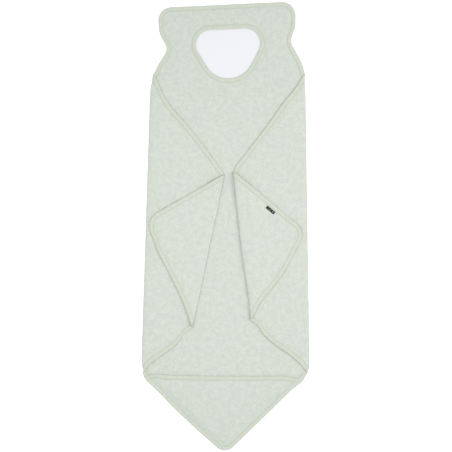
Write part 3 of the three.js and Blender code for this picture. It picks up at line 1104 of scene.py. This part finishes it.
def onMouth(stations, distance):
    # Places along the hood's free edge, from stations in millimetres.
    return np.column_stack([stations * mm, np.full(len(stations), mouthRow - distance)])


def mouthWays(distance):
    # Shorter further in, so that its ends stay inside the outer tape.
    reach = hood["halfMouth"] - hood["tapeEnds"] - distance * cut["halfWidth"] / cut["tipDepth"]
    along = np.linspace(-reach, reach, hood["steps"])
    return np.column_stack([along, np.full(hood["steps"], mouthRow - distance)])


tapes["hood_mouth_tape"] = tapePiece("hood_mouth_tape", mouthWays, None, "first", True)
mouthStations = np.linspace(-hood["seamReach"], hood["seamReach"], hood["steps"])
seams[(None, "first")].append(seamPoints(onMouth, mouthStations, None, "first", True))
print("tape made")

stitches = {}
for (side, layer), rows in seams.items():
    key = side + ("_side" if layer == "second" else "_corner") if side else "centre"
    stitches[key] = attach(stitched(key + "_stitches", rows), side, layer)

# Label
label = {"length": 29 * mm, "width": 8.5 * mm, "thickness": 0.6 * mm, "fromCorner": 119 * mm,
         "fromTape": 0.8 * mm, "sunk": 0.5 * mm, "soft": 0.15 * mm, "marksSunk": 0.1 * mm,
         "marksProud": 0.12 * mm, "marksSoft": 0.05 * mm}
upperEdge = unit(np.array([cut["baseHalfWidth"] - cut["halfWidth"], cut["baseHeight"]]))
wideCorner = np.array([cut["halfWidth"], patternShift])
labelPlace = wideCorner + upperEdge * label["fromCorner"] + leftOf(upperEdge) * (
    tape["width"] + label["fromTape"] + label["width"] / 2)


def onLabel(along, across, height):
    # Places on the cloth under the label, from its own length and width.
    flat = labelPlace + np.outer(along, upperEdge) + np.outer(across, leftOf(upperEdge))
    distance = edgeDistance(flat)
    lift = midFirst + clothHalf(distance) + height
    return placed(np.column_stack([flat, lift]), "right", "third")


def slab(halfLength, halfWidth, low, high, soft, centre=(0, 0), count=(12, 5)):
    # A thin woven slab that follows the cloth below it, as points, faces and pattern places.
    xs, ys = (np.concatenate([[-1], np.linspace(-1 + soft / half, 1 - soft / half, steps), [1]])
              for half, steps in ((halfLength, count[0]), (halfWidth, count[1])))
    grid = np.array([(x * halfLength, y * halfWidth) for x in xs for y in ys])
    rim = np.array([max(abs(x), abs(y)) == 1 for x in xs for y in ys])
    heights = (np.where(rim, high - soft, high), np.full(len(grid), low))
    points = [onLabel(grid[:, 0] + centre[0], grid[:, 1] + centre[1], height) for height in heights]
    nx, ny = len(xs), len(ys)
    faces = [(i * ny + j, (i + 1) * ny + j, (i + 1) * ny + j + 1, i * ny + j + 1)
             for i in range(nx - 1) for j in range(ny - 1)]
    total = nx * ny
    every = faces + [tuple(k + total for k in reversed(face)) for face in faces]
    edges = rimEdges(np.array([tri for f in faces for tri in ((f[0], f[1], f[2]), (f[0], f[2], f[3]))]))
    every += [(a, a + total, b + total, b) for a, b in edges]
    return np.concatenate(points), every, np.concatenate([grid, grid])


def joinedSlabs(name, parts, material):
    points, faces, places, base = [], [], [], 0
    for partPoints, partFaces, partPlaces in parts:
        points.append(partPoints)
        places.append(partPlaces)
        faces += [tuple(corner + base for corner in face) for face in partFaces]
        base += len(partPoints)
    made = meshObject(name, np.concatenate(points), faces, material, np.concatenate(places))
    outwards(made)
    return made


labelBody = slab(label["length"] / 2, label["width"] / 2, -label["sunk"], label["thickness"], label["soft"])
labelPiece = joinedSlabs("woven_label_cloth", [labelBody], labelMaterial)
# Small plain blocks in place of lettering: (along, across, half length, half width) in millimetres.
markPlaces = [(4.6, 0.2, 0.7, 0.6), (1.9, 0.2, 0.7, 0.6), (-0.8, 0.2, 0.7, 0.6), (-8.6, -0.4, 1.2, 1.1)]
markLow, markHigh = label["thickness"] - label["marksSunk"], label["thickness"] + label["marksProud"]
markParts = [slab(halfLength * mm, halfWidth * mm, markLow, markHigh, label["marksSoft"],
                  (along * mm, across * mm), (3, 3)) for along, across, halfLength, halfWidth in markPlaces]
labelMarks = joinedSlabs("woven_label_marks", markParts, markMaterial)
for made in (labelPiece, labelMarks):
    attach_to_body(made, "right_corner")
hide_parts("woven_label")
print("label made")

# Each piece is attached, and the part of the model it stands for is hidden; a list of what each cloth carries
# is gathered
for name, made in tapes.items():
    side, layer = runs.get(name, (0, 0, None, "first"))[2:]
    attach(made, side, layer, name.replace("_tape", "_binding"))
for key, (made, size, area) in cloths.items():
    side, _, part = key.rpartition("_")
    layer = {"side": "second", "corner": "third"}.get(part, "first")
    attach(made, side, layer, key + "_panel")
    going = [piece for name, piece in tapes.items() if side and name.startswith(key)]
    if side:
        going.append(stitches[key])
    elif key == "hood":
        going = [tapes["hood_mouth_tape"]]
    else:
        going = [tapes["yoke_tape"], tapes["neck_tape"], tapes["hood_edge_tape"], stitches["centre"]]
    if key == "right_corner":
        going += [labelPiece, labelMarks]
print("pieces attached")

floorReach = 6
floorCorners = [(x * floorReach, y * floorReach, 0) for x, y in ((-1, -1), (1, -1), (1, 1), (-1, 1))]
floorMesh = bpy.data.meshes.new("floor")
floorMesh.from_pydata(floorCorners, [], [(0, 1, 2, 3)])
floorMesh.materials.append(paper)
floor = bpy.data.objects.new("floor", floorMesh)
bpy.context.scene.collection.objects.link(floor)

studio = {"sky": 0.78, "skyColour": (0.99, 0.995, 1.0, 1),
          "lamps": (("key", 31.0, 1.2, (2.4, 0.4, 2.0)), ("overhead", 21.5, 1.2, (-0.15, -0.10, 1.8)))}


def makeLights(settings):
    world = bpy.data.worlds.new("studio")
    bpy.context.scene.world = world
    world.use_nodes = True
    background = world.node_tree.nodes["Background"]
    background.inputs["Color"].default_value = settings["skyColour"]
    background.inputs["Strength"].default_value = settings["sky"]
    for name, energy, size, place in settings["lamps"]:
        light = bpy.data.lights.new(name, "AREA")
        light.energy = energy
        light.size = size
        lamp = bpy.data.objects.new(name, light)
        lamp.location = place
        lamp.rotation_euler = Vector(place).to_track_quat("Z", "Y").to_euler()  # faces the towel
        bpy.context.scene.collection.objects.link(lamp)
    bpy.context.scene.view_settings.view_transform = "Standard"


makeLights(studio)
